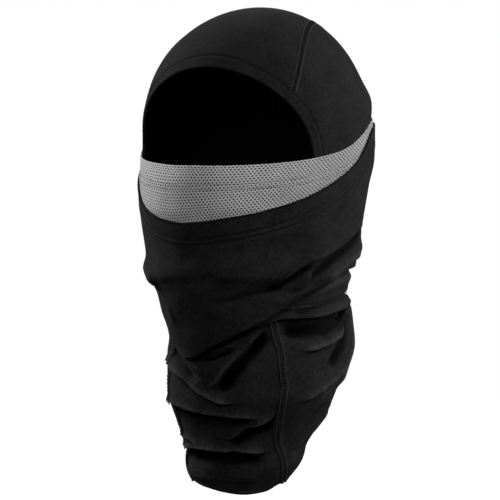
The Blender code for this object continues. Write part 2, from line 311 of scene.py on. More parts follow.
def tube(profile, turn, depth):
    """Points and outward normals of an oval tube with a profile, in millimetres with Z up."""
    turn, depth = np.broadcast_arrays(np.asarray(turn, float), np.asarray(depth, float))

    def point(turn, depth):
        angle = np.radians(turn)
        half_width, half_depth, back = curve(profile, depth)
        return np.stack([half_width * np.sin(angle), back - half_depth * np.cos(angle), TOP - depth], -1)

    step = 0.5
    across = point(turn + step, depth) - point(turn - step, depth)
    up = point(turn, depth - step) - point(turn, depth + step)
    normal = np.cross(across, up)
    normal /= np.linalg.norm(normal, axis=-1, keepdims=True)
    return point(turn, depth), normal


def hood_surface(turn, depth):
    """The hood's outside: a dome above the brow and a tube below it."""
    turn, depth = np.broadcast_arrays(np.asarray(turn, float), np.asarray(depth, float))
    low_point, low_normal = tube(HOOD_PROFILE, turn, np.maximum(depth, CROWN))
    angle = np.radians(turn)
    rise = np.clip((CROWN - depth) / CROWN, 0.0, 1.0)
    level = np.sqrt(1.0 - rise**DOME_ROUND)
    high_point = np.stack(
        [
            HOOD_HALF_WIDTH * level * np.sin(angle),
            CROWN_BACK * rise**3 - HOOD_HALF_DEPTH * level * np.cos(angle),
            TOP - depth,
        ],
        -1,
    )
    scale = np.array([HOOD_HALF_WIDTH**2, HOOD_HALF_DEPTH**2, CROWN**2])
    centre = np.array([0.0, 0.0, TOP - CROWN])
    high_normal = (high_point - centre) / scale
    high_normal /= np.linalg.norm(high_normal, axis=-1, keepdims=True)
    high = (depth < CROWN)[..., None]
    return np.where(high, high_point, low_point), np.where(high, high_normal, low_normal)


def mask_surface(turn, depth):
    return tube(MASK_PROFILE, turn, depth)


def band_surface(turn, depth):
    return tube(BAND_PROFILE, turn, depth)


def neck_surface(turn, depth):
    return tube(NECK_PROFILE, turn, depth)


def raised(surface, relief, out=0.0):
    """A surface with a relief on it, for the routes of threads."""

    def line(turn, depth):
        points, normals = surface(turn, depth)
        return points + normals * (out + relief(turn, depth))[..., None], normals

    return line


def ring(count):
    """Turns all the way round the head."""
    return np.linspace(-180.0, 180.0, count, endpoint=False)


def from_route(turn, depth, route, circle):
    """Distance from a route of (turn, depth), positive above it, and a fold's strength, less near its
    ends."""
    route = np.array(route, float)
    corners = np.stack([route[:, 0] * circle, -route[:, 1]], -1)
    flat = np.stack([turn * circle, -depth], -1)
    heading = np.diff(corners, axis=0)
    lengths = np.linalg.norm(heading, axis=1)
    best = np.full(turn.shape, np.inf)
    signed = np.zeros(turn.shape)
    reached = np.zeros(turn.shape)
    start = 0.0
    for first, along, length in zip(corners[:-1], heading / lengths[:, None], lengths):
        offset = flat - first
        reach = np.clip(offset @ along, 0.0, length)
        distance = np.linalg.norm(offset - reach[..., None] * along, axis=-1)
        side = along[0] * offset[..., 1] - along[1] * offset[..., 0]
        nearer = distance < best
        best = np.where(nearer, distance, best)
        signed = np.where(nearer, np.where(side > 0, distance, -distance), signed)
        reached = np.where(nearer, start + reach, reached)
        start += length
    ends = np.clip(np.minimum(reached, start - reached) / min(FADE, FADE_SHARE * start), 0.0, 1.0)
    return signed, 0.06 + 0.94 * ends * ends * (3 - 2 * ends)


def leftwards(route):
    """A route drawn from the wearer's right to the left, so that its upper side comes out positive."""
    return route if route[0][0] < route[-1][0] else route[::-1]


def ridge(turn, depth, route, above, below, height, circle):
    """A soft ridge or, with a negative height, a soft hollow. above and below are its widths."""
    gap, fade = from_route(turn, depth, leftwards(route), circle)
    width = np.where(gap > 0, above, below)
    return height * np.exp(-((gap / width) ** 2)) * fade


def tuck(turn, depth, route, above, lip, below, deep, circle):
    """Cloth that bulges out above a route, folds over at it and is drawn in below it."""
    gap, fade = from_route(turn, depth, leftwards(route), circle)
    upper = lip * (0.6 * np.exp(-((gap / above) ** 2)) + 0.4 * np.exp(-((gap / CREST) ** 2)))
    under = -np.minimum(gap, 0.0)
    lower = lip * np.exp(-((under / 1.3) ** 2)) - deep * (1.0 - np.exp(-((under / 1.8) ** 2))) * np.exp(
        -((under / below) ** 3)
    )
    return np.where(gap > 0, upper, lower) * fade


def soft_noise(turn, depth, size, seed, stretch=1.0):
    """Smooth noise between about -1 and 1, made of a few waves that close round the head."""
    random = np.random.default_rng(seed)
    value = np.zeros(np.broadcast(turn, depth).shape)
    for _ in range(9):
        waves = round(random.uniform(0.4, 1.4) * 360.0 / size)
        tilt = random.uniform(-1.0, 1.0) / (size * stretch)
        phase = random.uniform(0.0, 2 * math.pi)
        value = value + np.sin(np.radians(turn) * waves + 2 * math.pi * depth * tilt + phase)
    return value / 4.0


# ---------------------------------------------------------------- meshes
def grid_mesh(name, points, uv, closed=False):
    """A mesh from a grid of points in millimetres, rows first. uv is in metres, with one column more if
    closed."""
    rows, columns = points.shape[:2]
    mesh = bpy.data.meshes.new(name)
    spans = columns if closed else columns - 1
    r, c = np.meshgrid(np.arange(rows - 1), np.arange(spans), indexing="ij")
    right = (c + 1) % columns
    this, below = r * columns, (r + 1) * columns
    corners = np.stack([below + c, below + right, this + right, this + c], -1).reshape(-1, 4)
    mesh.vertices.add(rows * columns)
    mesh.vertices.foreach_set("co", (points * MM).astype(np.float32).ravel())
    mesh.loops.add(corners.size)
    mesh.loops.foreach_set("vertex_index", corners.astype(np.int32).ravel())
    mesh.polygons.add(len(corners))
    mesh.polygons.foreach_set("loop_start", np.arange(0, corners.size, 4, dtype=np.int32))
    mesh.update(calc_edges=True)
    layer = mesh.uv_layers.new(name="Cloth")
    uv_corners = np.stack([uv[r + 1, c], uv[r + 1, c + 1], uv[r, c + 1], uv[r, c]], -2)
    layer.data.foreach_set("uv", uv_corners.astype(np.float32).ravel())
    mesh.shade_smooth()
    return mesh


def add_object(name, mesh, material):
    piece = bpy.data.objects.new(name, mesh)
    bpy.context.scene.collection.objects.link(piece)
    mesh.materials.append(material)
    return piece


def cloth(name, points, uv, material, thickness, closed=False, relief=None):
    """A cloth piece whose outside is a grid of points. The thickness goes inwards. relief is stored for the
    material, which paints shade and highlight from it."""
    piece = add_object(name, grid_mesh(name, points, uv, closed), material)
    if relief is not None:
        stored = piece.data.attributes.new("Relief", "FLOAT", "POINT")
        stored.data.foreach_set("value", relief.astype(np.float32).ravel())
    solidify = piece.modifiers.new("Cloth thickness", "SOLIDIFY")
    solidify.thickness = thickness * MM
    solidify.offset = -1.0
    solidify.use_even_offset = False
    # The inside face gets a darker copy of the knit: painted shade for the hood's inside.
    if material is HOOD_KNIT:
        piece.data.materials.append(HOOD_INSIDE_PAINTED_SHADE)
        solidify.material_offset = 1
    return piece


def cloth_uv(turn, depth, circle):
    return np.stack([turn * circle * MM, -depth * MM], -1)


def thread_points(points, normals, pitch, radius, closed, dip, sunk, sides=6, samples=6):
    """Rings of points round a thread that dips into the cloth between its stitches. sunk is how deep it
    lies in a groove."""
    ends = np.vstack([points, points[:1]]) if closed else points
    lengths = np.linalg.norm(np.diff(ends, axis=0), axis=1)
    along = np.concatenate([[0.0], np.cumsum(lengths)])
    stitches = max(2, round(along[-1] / pitch))
    count = stitches * samples + (0 if closed else 1)
    s = np.linspace(0.0, along[-1], count, endpoint=not closed)
    all_normals = np.vstack([normals, normals[:1]]) if closed else normals
    line = np.stack([np.interp(s, along, ends[:, k]) for k in range(3)], -1)
    out = np.stack([np.interp(s, along, all_normals[:, k]) for k in range(3)], -1)
    out /= np.linalg.norm(out, axis=1, keepdims=True)
    if closed:
        heading = np.roll(line, -1, axis=0) - np.roll(line, 1, axis=0)
    else:
        heading = np.gradient(line, axis=0)
    heading /= np.linalg.norm(heading, axis=1, keepdims=True)
    side = np.cross(heading, out)
    side /= np.linalg.norm(side, axis=1, keepdims=True)
    phase = np.abs(np.sin(np.pi * s / (along[-1] / stitches)))
    lift = radius * (0.65 + dip * 1.75 * (phase**0.6 - 1.0)) - sunk
    angles = np.linspace(0.0, 2 * math.pi, sides, endpoint=False)
    across = np.cos(angles)[None, :, None] * side[:, None, :] * radius
    height = (np.sin(angles)[None, :] * radius * 0.8 + lift[:, None])[:, :, None] * out[:, None, :]
    return line[:, None, :] + across + height


def thread(name, routes, material, closed=False, pitch=STITCH_PITCH, radius=THREAD_RADIUS, dip=1.0, sunk=0.0):
    """One object with a stitched thread along each route. A route is points and normals in millimetres."""
    vertices, faces, base = [], [], 0
    for points, normals in routes:
        rings = thread_points(points, normals, pitch, radius, closed, dip, sunk)
        count, sides = rings.shape[:2]
        vertices.append(rings.reshape(-1, 3))
        spans = count if closed else count - 1
        i, k = np.meshgrid(np.arange(spans), np.arange(sides), indexing="ij")
        ahead, beside = (i + 1) % count, (k + 1) % sides
        quads = np.stack([i * sides + k, ahead * sides + k, ahead * sides + beside, i * sides + beside], -1)
        faces += (quads.reshape(-1, 4) + base).tolist()
        if not closed:
            faces.append([base + n for n in range(sides)])
            faces.append([base + (count - 1) * sides + n for n in reversed(range(sides))])
        base += count * sides
    mesh = bpy.data.meshes.new(name)
    mesh.from_pydata((np.vstack(vertices) * MM).tolist(), [], faces)
    mesh.validate()
    mesh.shade_smooth()
    return add_object(name, mesh, material)


def zigzag_on(surface, turn, depth, width, pitch):
    """A route that crosses from one side of a line to the other once in each stitch."""
    points, normals = surface(turn, depth)
    lengths = np.concatenate([[0.0], np.cumsum(np.linalg.norm(np.diff(points, axis=0), axis=1))])
    crossings = max(2, round(lengths[-1] / pitch)) * 2
    s = np.linspace(0.0, lengths[-1], crossings * 2 + 1)
    turn, depth = np.interp(s, lengths, turn), np.interp(s, lengths, depth)
    (points, normals), = lines_on(surface, turn, depth, (0.0,))
    (beside, _), = lines_on(surface, turn, depth, (1.0,))
    sway = np.tile([0.0, 1.0, 0.0, -1.0], crossings)[: len(s)] * width / 2
    return points + (beside - points) * sway[:, None] + normals * 0.12, normals


def flat_seam(name, surface, turn, depth, width):
    """A flat seam: two rows of stitches with the cover thread crossing between them."""
    rows = lines_on(surface, turn, depth, (-width / 2, width / 2))
    vertices = thread(f"{name}_thread", rows, SEAM_THREAD, radius=SEAM_RADIUS)
    cover_route = zigzag_on(surface, turn, depth, width, COVER_PITCH)
    cover = thread(f"{name}_cover_thread", [cover_route], BLACK_THREAD, radius=COVER_RADIUS, dip=0.0)
    return vertices, cover


def lines_on(surface, turn, depth, offsets):
    """Routes along a line on a surface, one for each sideways offset in millimetres."""
    points, normals = surface(turn, depth)
    heading = np.gradient(points, axis=0)
    heading /= np.linalg.norm(heading, axis=1, keepdims=True)
    across = np.cross(heading, normals)
    across /= np.linalg.norm(across, axis=1, keepdims=True)
    return [(points + across * offset, normals) for offset in offsets]


# ---------------------------------------------------------------- materials
class Nodes:
    """Short names for building a material's node tree."""

    def __init__(self, name):
        self.material = bpy.data.materials.new(name)
        self.material.use_nodes = True
        self.tree = self.material.node_tree
        self.shader = self.tree.nodes["Principled BSDF"]

    def add(self, kind, **values):
        node = self.tree.nodes.new(kind)
        for key, value in values.items():
            setattr(node, key, value)
        return node

    def join(self, source, target):
        self.tree.links.new(source, target)

    def math(self, operation, first, second=None):
        node = self.add("ShaderNodeMath", operation=operation)
        for socket, value in zip(node.inputs, (first, second)):
            if value is None:
                continue
            if isinstance(value, (int, float)):
                socket.default_value = value
            else:
                self.join(value, socket)
        return node.outputs[0]

    def weighted(self, first, *others):
        """The sum of some values, each times its weight."""
        total = self.math("MULTIPLY", *first)
        for value, weight in others:
            total = self.math("ADD", total, self.math("MULTIPLY", value, weight))
        return total

    def scaled(self, vector, factor):
        """A vector or colour times the output of a node."""
        node = self.add("ShaderNodeVectorMath", operation="SCALE")
        self.join(vector, node.inputs[0])
        self.join(factor, node.inputs["Scale"])
        return node.outputs[0]

    def fix(self, **values):
        """Sets sockets of the shader that are the same all over the surface."""
        for socket, value in values.items():
            self.shader.inputs[socket.replace("_", " ")].default_value = value

    def stored(self, name):
        """A value that is stored on the mesh's points."""
        return self.add("ShaderNodeAttribute", attribute_name=name).outputs["Fac"]

    def noise(self, vector, scale, detail=3.0, roughness=0.55):
        node = self.add("ShaderNodeTexNoise")
        node.inputs["Scale"].default_value = scale
        node.inputs["Detail"].default_value = detail
        node.inputs["Roughness"].default_value = roughness
        self.join(vector, node.inputs["Vector"])
        return node.outputs["Fac"]

    def range(self, value, low, high, to_low, to_high):
        node = self.add("ShaderNodeMapRange")
        for socket, number in zip(("From Min", "From Max", "To Min", "To Max"), (low, high, to_low, to_high)):
            node.inputs[socket].default_value = number
        self.join(value, node.inputs["Value"])
        return node.outputs["Result"]

    def mix(self, factor, low, high):
        node = self.add("ShaderNodeMix", data_type="RGBA")
        self.join(factor, node.inputs[0])
        node.inputs[6].default_value = (*low, 1.0)
        node.inputs[7].default_value = (*high, 1.0)
        return node.outputs[2]

    def bump(self, height, strength, distance, normal=None):
        node = self.add("ShaderNodeBump")
        node.inputs["Strength"].default_value = strength
        node.inputs["Distance"].default_value = distance
        self.join(height, node.inputs["Height"])
        if normal is not None:
            self.join(normal, node.inputs["Normal"])
        return node.outputs["Normal"]

    def cloth_coordinates(self):
        """Millimetres across and along the cloth."""
        uv = self.add("ShaderNodeUVMap", uv_map="Cloth").outputs[0]
        scale = self.add("ShaderNodeVectorMath", operation="SCALE")
        scale.inputs["Scale"].default_value = 1.0 / MM
        self.join(uv, scale.inputs[0])
        split = self.add("ShaderNodeSeparateXYZ")
        self.join(scale.outputs[0], split.inputs[0])
        return scale.outputs[0], split.outputs["X"], split.outputs["Y"]


def knit_material(name, dark, light, wale, sheen, roughness):
    """Fine weft knit: V-shaped stitches in wales and heather flecks. Its Relief paints the folds: painted
    shade in the creases and a painted highlight on their tops."""
    n = Nodes(name)
    vector, across, along = n.cloth_coordinates()
    wave = n.math("MULTIPLY", across, 2 * math.pi / wale)
    lean = n.math("ABSOLUTE", n.math("SINE", n.math("MULTIPLY", wave, 0.5)))
    course = n.math("MULTIPLY", along, 2 * math.pi / (wale * 0.8))
    chevron = n.math("SINE", n.math("ADD", course, n.math("MULTIPLY", lean, 2.2)))
    knit = n.weighted((lean, 0.7), (chevron, 0.3))
    fuzz = n.noise(vector, 1.3, 4.0, 0.7)
    cloud = n.noise(vector, 0.05, 3.0, 0.5)
    pill = n.noise(vector, 0.3, 4.0, 0.7)
    tone = n.weighted((cloud, 0.2), (pill, 0.4), (fuzz, 0.4), (n.math("SUBTRACT", knit, 0.45), 0.1))
    shade = n.mix(n.range(tone, 0.39, 0.61, 0.0, 1.0), dark, light)
    relief = n.stored("Relief")
    # Painted shade and highlight: the base colour falls to 3% in deep fold hollows and rises up to 2.3 times
    # on crests.
    painted_crease_shade = n.range(relief, -4.2, -0.5, 0.03, 1.0)
    painted_shade_and_highlight = n.math("MULTIPLY", painted_crease_shade, n.range(relief, 0.7, 3.0, 1.0, 2.3))
    n.join(n.scaled(shade, painted_shade_and_highlight), n.shader.inputs["Base Color"])
    rough = n.range(fuzz, 0.3, 0.7, roughness - 0.06, roughness + 0.05)
    n.join(rough, n.shader.inputs["Roughness"])
    weave = n.bump(knit, 0.32, 0.00022)
    n.join(n.bump(n.math("ADD", fuzz, pill), 0.5, 0.0005, weave), n.shader.inputs["Normal"])
    n.fix(Sheen_Weight=sheen, Sheen_Roughness=0.45, Specular_IOR_Level=0.02)
    return n.material


def mesh_material(name):
    """Warp-knit eyelet mesh: staggered round holes between soft grey cords. Its Relief paints shade on the
    cords, darker towards the ears.
    """
    n = Nodes(name)
    vector, across, along = n.cloth_coordinates()
    row = n.math("DIVIDE", along, MESH_ALONG * 0.5)
    odd = n.math("MULTIPLY", n.math("FLOORED_MODULO", n.math("FLOOR", row), 2.0), 0.5)
    x = n.math("ADD", n.math("DIVIDE", across, MESH_ACROSS), odd)
    dx = n.math("MULTIPLY", n.math("SUBTRACT", n.math("FRACT", x), 0.5), MESH_ACROSS)
    dy = n.math("MULTIPLY", n.math("SUBTRACT", n.math("FRACT", row), 0.5), MESH_ALONG * 0.5)
    wide = n.math("POWER", n.math("ABSOLUTE", dx), 2.0)
    tall = n.math("POWER", n.math("MULTIPLY", dy, 1.35), 2.0)
    hole = n.range(n.math("SQRT", n.math("ADD", wide, tall)), 0.5, 1.1, 1.0, 0.0)
    fibre = n.noise(vector, 3.0, 4.0, 0.6)
    cloud = n.noise(vector, 0.06, 2.0, 0.5)
    tone = n.weighted((fibre, 0.45), (cloud, 0.55))
    cord = n.mix(n.range(tone, 0.25, 0.75, 0.0, 1.0), (0.3, 0.3, 0.305), (0.42, 0.42, 0.425))
    blend = n.add("ShaderNodeMix", data_type="RGBA")
    n.join(hole, blend.inputs[0])
    # Painted shade: the cords get darker towards the ears.
    n.join(n.scaled(cord, n.range(n.stored("Relief"), 0.0, 1.0, 1.0, PAINTED_SIDE_SHADE)), blend.inputs[6])
    blend.inputs[7].default_value = (0.012, 0.012, 0.013, 1.0)
    n.join(blend.outputs[2], n.shader.inputs["Base Color"])
    n.join(n.range(fibre, 0.3, 0.7, 0.72, 0.88), n.shader.inputs["Roughness"])
    height = n.math("SUBTRACT", n.math("MULTIPLY", fibre, 0.25), hole)
    n.join(n.bump(height, 0.6, 0.0005), n.shader.inputs["Normal"])
    n.fix(Sheen_Weight=0.06, Sheen_Roughness=0.4, Specular_IOR_Level=0.3)
    return n.material


def thread_material(name, dark, light):
    """Spun polyester thread with a slight gloss and twisted plies."""
    n = Nodes(name)
    place = n.add("ShaderNodeTexCoord").outputs["Object"]
    ply = n.add("ShaderNodeTexWave", wave_type="BANDS", bands_direction="DIAGONAL")
    ply.inputs["Scale"].default_value = 900.0
    ply.inputs["Distortion"].default_value = 2.0
    n.join(place, ply.inputs["Vector"])
    n.join(n.mix(ply.outputs["Fac"], dark, light), n.shader.inputs["Base Color"])
    n.join(n.range(ply.outputs["Fac"], 0.0, 1.0, 0.5, 0.62), n.shader.inputs["Roughness"])
    n.join(n.bump(ply.outputs["Fac"], 0.5, 0.0001), n.shader.inputs["Normal"])
    n.fix(Specular_IOR_Level=0.05)
    return n.material


def label_material(name):
    """Woven satin label, blank."""
    n = Nodes(name)
    vector, across, _ = n.cloth_coordinates()
    rib = n.math("SINE", n.math("MULTIPLY", across, 2 * math.pi / 0.35))
    fibre = n.noise(vector, 2.0, 3.0)
    tone = n.math("ADD", n.math("MULTIPLY", rib, 0.2), fibre)
    satin = n.mix(n.range(tone, 0.2, 0.9, 0.0, 1.0), (0.5, 0.5, 0.5), (0.7, 0.7, 0.69))
    n.join(satin, n.shader.inputs["Base Color"])
    n.join(n.range(fibre, 0.3, 0.7, 0.35, 0.5), n.shader.inputs["Roughness"])
    n.join(n.bump(tone, 0.3, 0.0001), n.shader.inputs["Normal"])
    return n.material


HOOD_KNIT = knit_material("hood_knit", (0.003, 0.003, 0.003), (0.0125, 0.0125, 0.0125), 0.9, 0.012, 0.9)
MASK_KNIT = knit_material("mask_knit", (0.003, 0.003, 0.003), (0.0148, 0.0148, 0.0148), 1.0, 0.01, 0.9)
# A darker copy of the hood knit, painted shade for the inside of the hood.
HOOD_INSIDE_PAINTED_SHADE = knit_material("hood_inside_painted_shade", (0.0008, 0.0008, 0.0008), (0.002, 0.002, 0.002), 0.9, 0.0, 0.95)
GREY_MESH = mesh_material("grey_mesh_knit")
BLACK_THREAD = thread_material("black_thread_ply", (0.003, 0.003, 0.003), (0.008, 0.008, 0.008))
SEAM_THREAD = thread_material("seam_thread_ply", (0.014, 0.014, 0.014), (0.034, 0.034, 0.034))
GREY_THREAD = thread_material("grey_thread_ply", (0.16, 0.16, 0.165), (0.28, 0.28, 0.285))
LABEL_CLOTH = label_material("label_cloth")


# ---------------------------------------------------------------- shapes shared by several pieces
def dome_point(over, side):
    """Turn and depth of a dome point: over is the angle from the brow over the head, side the lean to
    one side."""
    over, side = np.radians(over), np.radians(side)
    turn = np.degrees(np.arctan2(np.sin(side), np.cos(side) * np.cos(over)))
    return turn, CROWN - CROWN * np.cos(side) * np.sin(over)


def seam_side(over):
    k = np.clip((over - SEAM_FIRST) / SEAM_LENGTH, 0.0, 1.0)
    return SEAM_BACK + SEAM_SPREAD * (1.0 - k * k * (3.0 - 2.0 * k))


def opening_turn(depth, out):
    k = (depth - OPENING_DEPTH) / (OPENING_HALF_HEIGHT + out)
    return (OPENING_HALF_TURN + out * TURN_PER_MM) * np.sqrt(np.maximum(0.0, 1.0 - k * k))


def opening_point(angle, out):
    angle = np.radians(angle)
    turn = (OPENING_HALF_TURN + out * TURN_PER_MM) * np.sin(angle)
    return turn, OPENING_DEPTH - (OPENING_HALF_HEIGHT + out) * np.cos(angle)


def brow_over(share, out):
    """The over angle where a line at a share of the crown panel's width meets the opening's hem."""
    low, high = np.zeros_like(share), np.full_like(share, 90.0)
    for _ in range(40):
        middle = 0.5 * (low + high)
        turn, depth = dome_point(middle, share * seam_side(middle))
        below_edge = depth > OPENING_DEPTH - OPENING_HALF_HEIGHT - out
        inside = (np.abs(turn) < opening_turn(depth, out)) & below_edge
        low, high = np.where(inside, middle, low), np.where(inside, high, middle)
    return high


def back_bulge(turn, depth):
    """The hood's cloth stands off the head in an upright fold behind each ear, just above the mask."""
    beside = np.abs(wrap(turn)) - 118.0
    return 3.0 * np.exp(-((beside / 12.0) ** 2) - (((depth - 72.0) / 12.0) ** 2))


def hood_relief(turn, depth):
    """How far the hood's cloth stands off the head: the folds behind the ears and slow ripples."""
    bulge = back_bulge(turn, depth)
    ripple = 0.2 * soft_noise(turn, depth, 70.0, 11, 0.6)
    below = np.clip((depth - 40.0) / 60.0, 0.0, 1.0)
    pressed = np.minimum(mask_relief(turn, depth) + 1.0, 0.0) * np.clip((depth - 140.0) / 20.0, 0.0, 1.0)
    return bulge + ripple * below + pressed


def hood_points(turn, depth, out=0.0):
    points, normals = hood_surface(turn, depth)
    return points + normals * (hood_relief(turn, depth) + out)[..., None]


hood_line = raised(hood_surface, hood_relief)


def groove(distance, width, deep):
    return -deep * np.exp(-((distance / width) ** 2))


def seam_dip(gap, width=1.6, deep=0.5, rim=2.4, rim_width=1.2):
    """The groove along a flat seam and the rounded rim beside it."""
    return groove(gap, width, deep) + deep * np.exp(-(((gap - rim) / rim_width) ** 2))


def hem_dip(gap, width=1.2, deep=0.45):
    """The groove along a hem's stitches."""
    return groove(gap, width, deep)


def keep_on_hood(piece, slot, *nodes):
    """A piece that stays on the head."""
    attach(piece, "hood")
    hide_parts(*nodes)


def pull_with_mask(piece, slot, *nodes):
    """A piece that the mask takes along at the front and leaves at the nape; here its transform is only baked
    in and the CAD nodes it replaces are hidden.
    """
    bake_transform(piece)
    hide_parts(*nodes)


def hem_stitching(node, routes, material, slot, **look):
    """The stitches of a hem that moves with the mask."""
    piece = thread(f"{node}_thread", routes, material, radius=HEM_THREAD, **look)
    pull_with_mask(piece, slot, node)


# ---------------------------------------------------------------- hood
def crown_panel():
    rows, columns = 260, 120
    share = np.linspace(1.0, -1.0, columns)[None, :]
    v = np.linspace(0.0, 1.0, rows)[:, None]
    dome_share = 0.62
    start = brow_over(share, PANEL_EDGE)
    over = start + (180.0 - start) * np.minimum(v / dome_share, 1.0)
    dome_turn, dome_depth = dome_point(over, share * seam_side(over))
    below = np.clip((v - dome_share) / (1.0 - dome_share), 0.0, 1.0)
    turn = np.where(v <= dome_share, dome_turn, 180.0 - share * SEAM_BACK)
    depth = np.where(v <= dome_share, dome_depth, CROWN + (HOOD_LOW - CROWN) * below)
    out = seam_dip((1.0 - np.abs(share)) * seam_side(over) * DOME_ACROSS)
    out = out + hem_dip((over - start) * BROW_ALONG) + 0.0 * turn
    points = hood_points(turn, depth, out)
    lean = share * seam_side(over)
    along = (over * DOME_ALONG + below * BACK_LENGTH) * MM
    uv = np.stack([lean * DOME_ACROSS * MM + 0.0 * v, along], -1)
    piece = cloth("crown_panel_cloth", points, uv, HOOD_KNIT, HOOD_CLOTH)
    keep_on_hood(piece, "hood_jersey", "crown_panel")


def side_panel(name, hand):
    rows, columns = 170, 190
    first = float(brow_over(np.array([1.0]), PANEL_EDGE)[0])
    first_turn = float(dome_point(first, seam_side(first))[0])
    last_turn = 180.0 - SEAM_BACK
    over = np.linspace(first, 180.0, columns)[None, :]
    v = np.linspace(0.0, 1.0, rows)[:, None]
    top_turn, top = dome_point(over, seam_side(over))
    depth = top + (HOOD_LOW - top) * v
    limit = np.where(depth < OPENING_DEPTH, first_turn, CHIN_TURN)
    front = np.maximum(opening_turn(depth, PANEL_EDGE), limit)
    share = (last_turn - top_turn) / (last_turn - first_turn)
    turn = last_turn - (last_turn - front) * share
    out = seam_dip((depth - top) * 0.9 / np.sqrt(1.0 + (share < 0.15) * 3.0))
    out = out + hem_dip((turn - front) * HOOD_CIRCLE)
    turn = hand * turn
    if hand < 0:
        turn, depth, out = turn[:, ::-1], depth[:, ::-1], out[:, ::-1]
    points = hood_points(turn, depth, out)
    uv = cloth_uv(turn, depth, HOOD_CIRCLE)
    piece = cloth(f"{name}_cloth", points, uv, HOOD_KNIT, HOOD_CLOTH)
    keep_on_hood(piece, "hood_jersey", name)


def chin_panel():
    rows, columns = 40, 120
    turn = np.linspace(-CHIN_TURN, CHIN_TURN, columns)[None, :] + np.zeros((rows, 1))
    k = turn / (OPENING_HALF_TURN + PANEL_EDGE * TURN_PER_MM)
    top = OPENING_DEPTH + (OPENING_HALF_HEIGHT + PANEL_EDGE) * np.sqrt(1.0 - k * k)
    depth = top + (HOOD_LOW - top) * np.linspace(0.0, 1.0, rows)[:, None]
    points = hood_points(turn, depth)
    uv = cloth_uv(turn, depth, HOOD_CIRCLE)
    piece = cloth("chin_panel_cloth", points, uv, HOOD_KNIT, HOOD_CLOTH)
    keep_on_hood(piece, "hood_jersey", "chin_panel")


def hem_profile(width, inside, bend_radius):
    """Rows of a folded hem: how far each lies from the edge, and how far out of the outer face."""
    outer = [(width * k, 0.0) for k in np.linspace(1.0, 0.12, 14)]
    bend = [
        (bend_radius - bend_radius * math.sin(a), -bend_radius + bend_radius * math.cos(a))
        for a in np.linspace(0.0, math.pi, 9)
    ]
    inner = [(inside * k, -2.0 * bend_radius) for k in np.linspace(0.2, 1.0, 8)]
    return np.array(outer + bend + inner)


def opening_hem():
    profile = hem_profile(OPENING_HEM, OPENING_HEM, HEM_ROUND)
    columns = 420
    angle = np.linspace(0.0, 360.0, columns, endpoint=False)[None, :]
    reach = profile[:, :1]
    out = profile[:, 1:]
    turn, depth = opening_point(angle, reach)
    lift = hem_dip(OPENING_HEM - reach) + 0.25 * np.exp(-(((reach - OPENING_HEM + 2.4) / 1.6) ** 2))
    points = hood_points(turn, depth, out + lift * (out > -0.01))
    full = np.linspace(0.0, 360.0, columns + 1)[None, :]
    uv = np.stack([full * HEM_CIRCLE * MM + 0.0 * reach, (reach - out) * MM + 0.0 * full], -1)
    piece = cloth("opening_hem_cloth", points, uv, HOOD_KNIT, HEM_CLOTH, closed=True)
    keep_on_hood(piece, "hood_jersey", "opening_hem")


def hood_stitching():
    turn, depth = opening_point(np.linspace(0.0, 360.0, 720, endpoint=False), OPENING_HEM)
    routes = lines_on(hood_line, turn, depth, (-0.1,))
    look = {"closed": True, "radius": HEM_THREAD, "sunk": 0.15}
    piece = thread("opening_stitching_thread", routes, BLACK_THREAD, **look)
    keep_on_hood(piece, "black_thread", "opening_stitching")
    for name, hand in (("left", 1), ("right", -1)):
        crown_seam(f"crown_seam_{name}", hand)
        turn = np.full(40, hand * CHIN_TURN)
        depth = np.linspace(CHIN_SEAM_TOP, JOIN_DEPTH, 40)
        routes = lines_on(hood_line, turn, depth, (-1.8, 1.8))
        seam = thread(f"chin_seam_{name}_thread", routes, BLACK_THREAD)
        keep_on_hood(seam, "black_thread", f"chin_seam_{name}")
    turn = np.linspace(0.0, 360.0, 600, endpoint=False)
    routes = lines_on(hood_line, turn, np.full(600, JOIN_DEPTH), (-1.6, 1.6))
    join = thread("joining_stitching_thread", routes, BLACK_THREAD, closed=True)
    keep_on_hood(join, "black_thread", "joining_stitching")


def crown_seam(name, hand):
    first = float(brow_over(np.array([1.0]), OPENING_HEM)[0])
    over = np.linspace(first, 180.0, 420)
    turn, depth = dome_point(over, seam_side(over))
    low = np.linspace(CROWN, JOIN_DEPTH, 120)[1:]
    turn = hand * np.concatenate([turn, np.full(len(low), 180.0 - SEAM_BACK)])
    depth = np.concatenate([depth, low])
    for piece in flat_seam(name, hood_line, turn, depth, FLAT_ROWS):
        keep_on_hood(piece, "black_thread", name)


def care_label():
    rows, columns = 24, 14
    turn = 180.0 + np.linspace(-5.0, 5.0, columns)[None, :] + np.zeros((rows, 1))
    v = np.linspace(0.0, 1.0, rows)[:, None]
    depth = 205.0 + 23.0 * v + 0.0 * turn
    points = hood_points(turn, depth, -HOOD_CLOTH - 0.5 - 1.6 * v**2 + 0.0 * turn)
    uv = cloth_uv(turn, depth, LABEL_CIRCLE)
    piece = cloth("care_label_cloth", points, uv, LABEL_CLOTH, LABEL_THICK)
    keep_on_hood(piece, "label_satin", "care_label")


